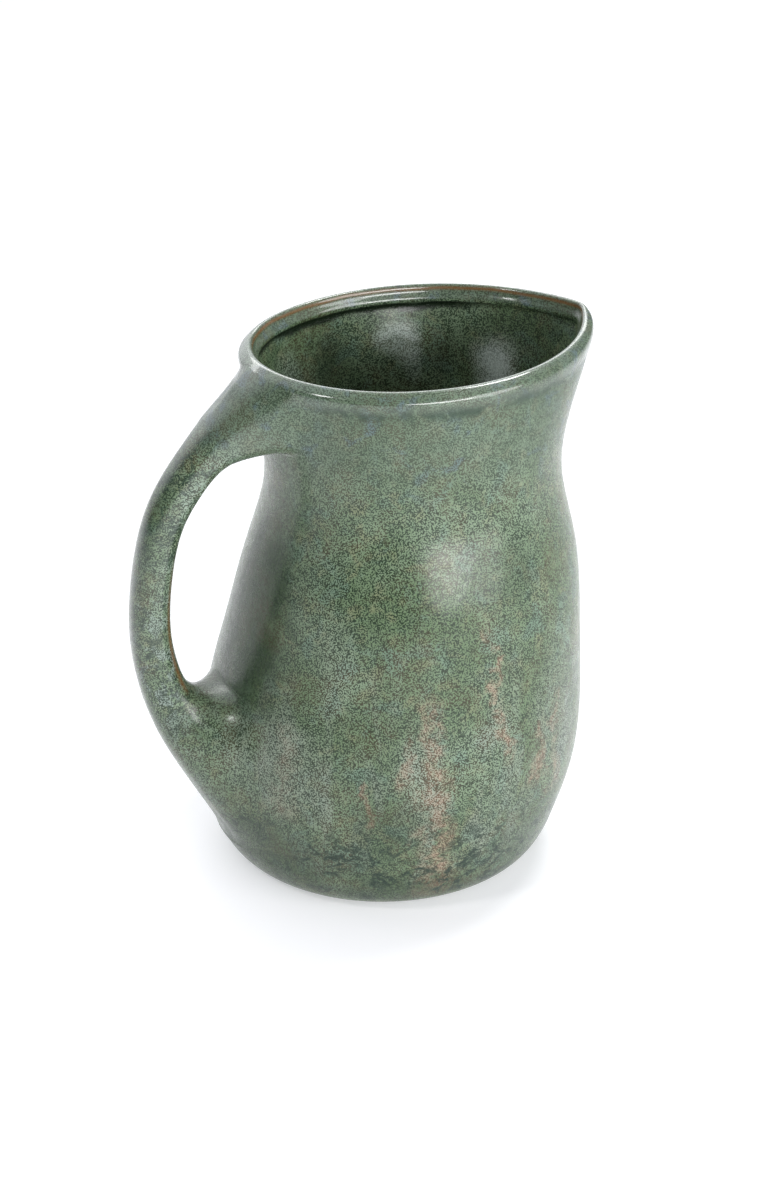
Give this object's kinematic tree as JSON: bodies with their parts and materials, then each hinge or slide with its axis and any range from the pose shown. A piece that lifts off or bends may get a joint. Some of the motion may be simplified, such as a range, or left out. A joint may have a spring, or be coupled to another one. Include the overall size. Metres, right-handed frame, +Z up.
{
  "type": "pitcher",
  "caption": "Hand-formed glazed stoneware pitcher with a pear-shaped belly, waisted neck, pinched pouring spout and a pulled loop handle that flares into the rim and belly.",
  "frame": {"origin": "centre of the foot ring's underside, on the table", "axes": "+Z up, +X towards the spout, -X towards the handle, +Y to the left when looking along +X"},
  "size_m": [0.1793, 0.1426, 0.2022],
  "materials": {
    "glaze": "satin-gloss reactive stoneware glaze, sage to olive green with a fine dark and pale speckle, bluish clouds and warm tan runs",
    "bare_clay": "bare fired stoneware, buff, matt and slightly rough"
  },
  "bodies": {
    "root": {"floor": "glaze", "foot_ring": "bare_clay", "vessel_wall": "glaze", "rim": "glaze", "handle_upper_root": "glaze", "handle_grip": "glaze", "handle_lower_root": "glaze"}
  },
  "joints": []
}
